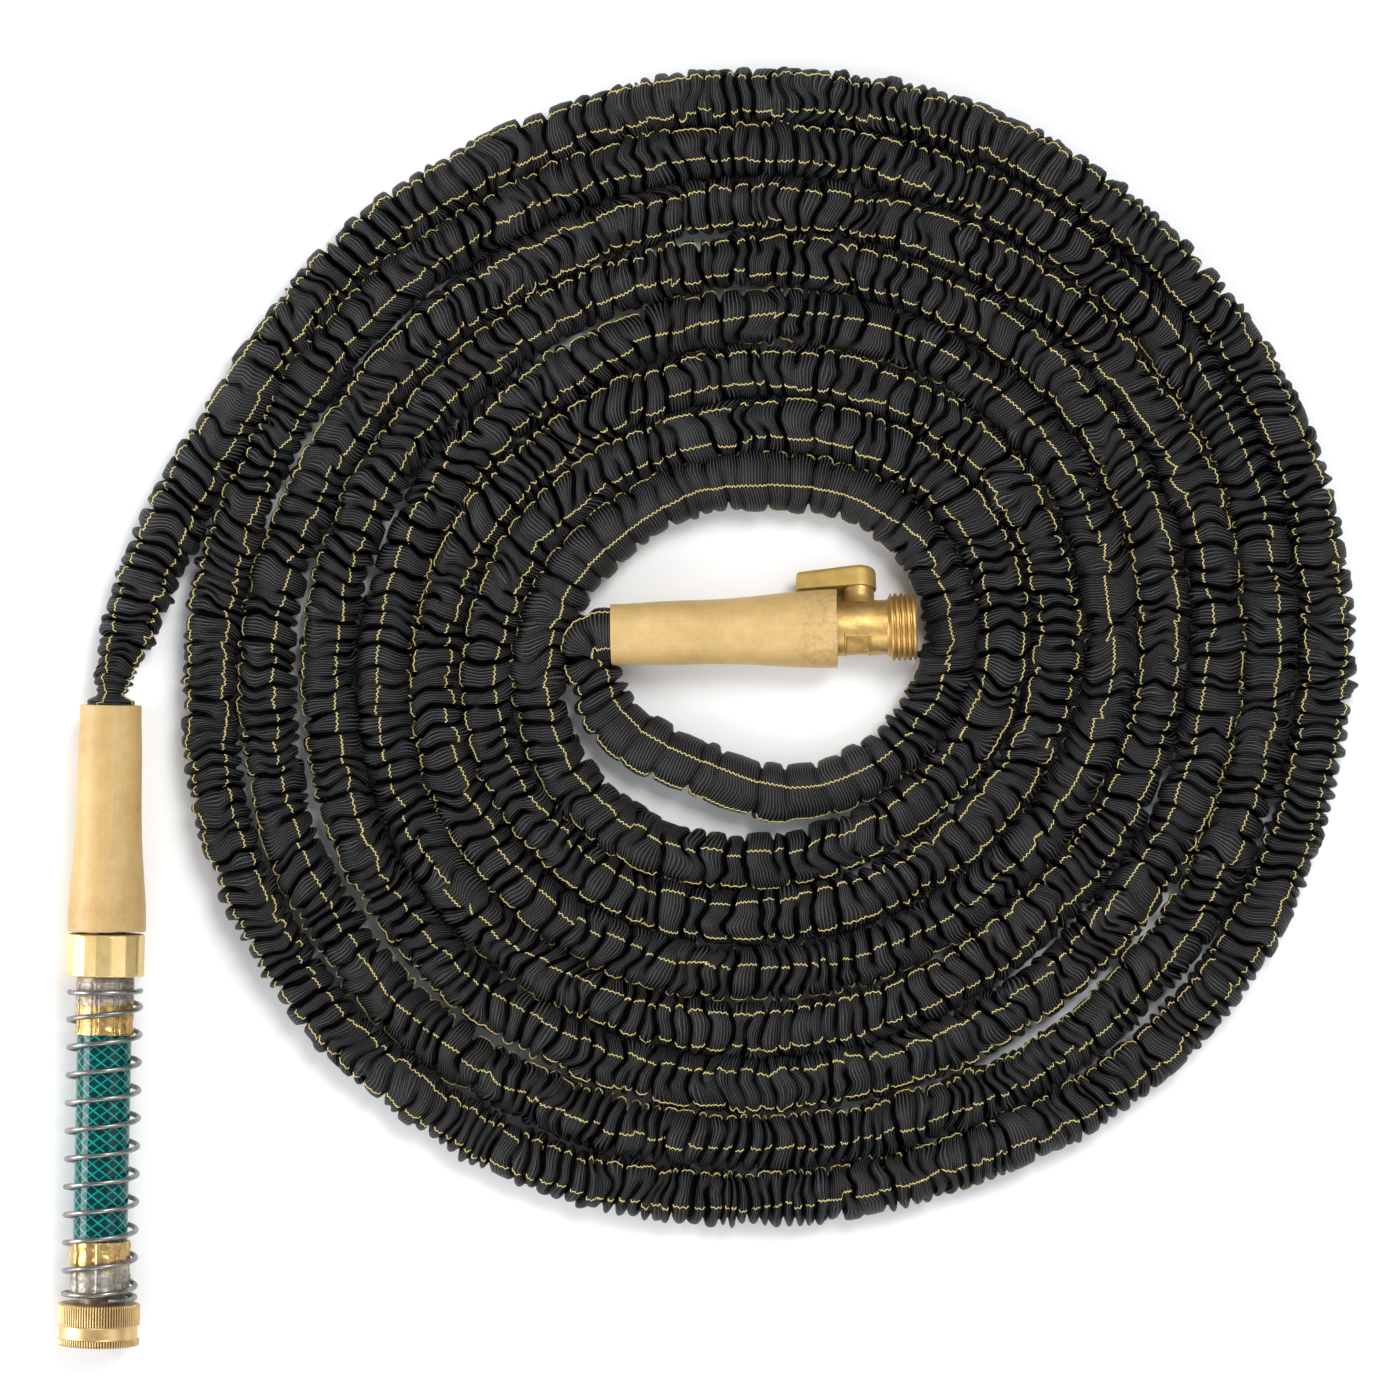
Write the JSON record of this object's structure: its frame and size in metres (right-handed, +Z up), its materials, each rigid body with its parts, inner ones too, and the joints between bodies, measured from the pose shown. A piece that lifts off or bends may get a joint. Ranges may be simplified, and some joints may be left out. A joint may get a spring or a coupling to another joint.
{
  "type": "expandable garden hose",
  "caption": "Coiled expandable garden hose with a lever ball valve on its outlet, rubber grip sleeves, and a spring-guarded leader hose with a swivel nut for the tap.",
  "frame": {"origin": "on the floor, below the middle of the box that holds the fittings at both ends of the hose, without the hose itself", "axes": "+Z up from the floor that the coil lies on; +X along the valve's pipe axis, out of its outlet thread; +Y to the left of that; the tap end points almost along -Y"},
  "size_m": [0.5239, 0.5019, 0.0328],
  "materials": {
    "grip_rubber": "matte",
    "latex": "matte",
    "sheath_fabric": "matte",
    "collar_plastic": "matte",
    "cast_brass": "satin",
    "lever_brass": "satin",
    "nut_brass": "satin",
    "nut_brass_knurled": "satin",
    "ball_chrome": "polished",
    "seat_plastic": "satin",
    "seal_rubber": "matte",
    "screw_steel": "satin",
    "liner_pvc": "gloss",
    "cover_pvc": "gloss",
    "ferrule_metal": "satin",
    "ferrule_brass": "satin",
    "spring_steel": "polished"
  },
  "bodies": {
    "hose": {"outlet_sleeve": "grip_rubber", "outlet_tube_end": "latex", "outlet_sheath_cuff": "sheath_fabric", "outlet_collar": "collar_plastic", "outlet_barb": "cast_brass", "valve_body": "cast_brass", "valve_seat_rear": "seat_plastic", "valve_seat_front": "seat_plastic", "stem_thrust_washer": "seat_plastic", "inlet_sleeve": "grip_rubber", "inlet_tube_end": "latex", "inlet_sheath_cuff": "sheath_fabric", "inlet_collar": "collar_plastic", "inlet_barb": "cast_brass", "inlet_washer": "seal_rubber", "leader_male_end": "cast_brass", "leader_tail": "cast_brass", "leader_liner": "liner_pvc", "leader_cover": "cover_pvc", "upper_ferrule": "ferrule_metal", "lower_ferrule": "ferrule_brass", "leader_spring": "spring_steel", "hose_coil": "sheath_fabric", "hose_tail": "sheath_fabric"},
    "lever": {"valve_ball": "ball_chrome", "valve_stem": "cast_brass", "stem_o_rings": "seal_rubber", "lever_handle": "lever_brass", "lever_screw": "screw_steel"},
    "inlet_nut": {"inlet_nut": "nut_brass"},
    "tap_nut": {"tap_nut": "nut_brass_knurled", "tap_washer": "seal_rubber"}
  },
  "joints": [
    {"name": "valve_lever", "type": "hinge", "parent": "hose", "child": "lever", "pos_m": [0.1527, 0.1266, 0.0157], "axis": [0, 0.9397, -0.342], "range_deg": [0, 90]},
    {"name": "inlet_nut_swivel", "type": "hinge", "parent": "hose", "child": "inlet_nut", "pos_m": [-0.15172, 0.00391, 0.0164], "axis": [-0.0462, -0.9989, 0], "continuous": true},
    {"name": "tap_nut_swivel", "type": "hinge", "parent": "hose", "child": "tap_nut", "pos_m": [-0.15853, -0.14324, 0.0164], "axis": [-0.0462, -0.9989, 0], "continuous": true}
  ]
}
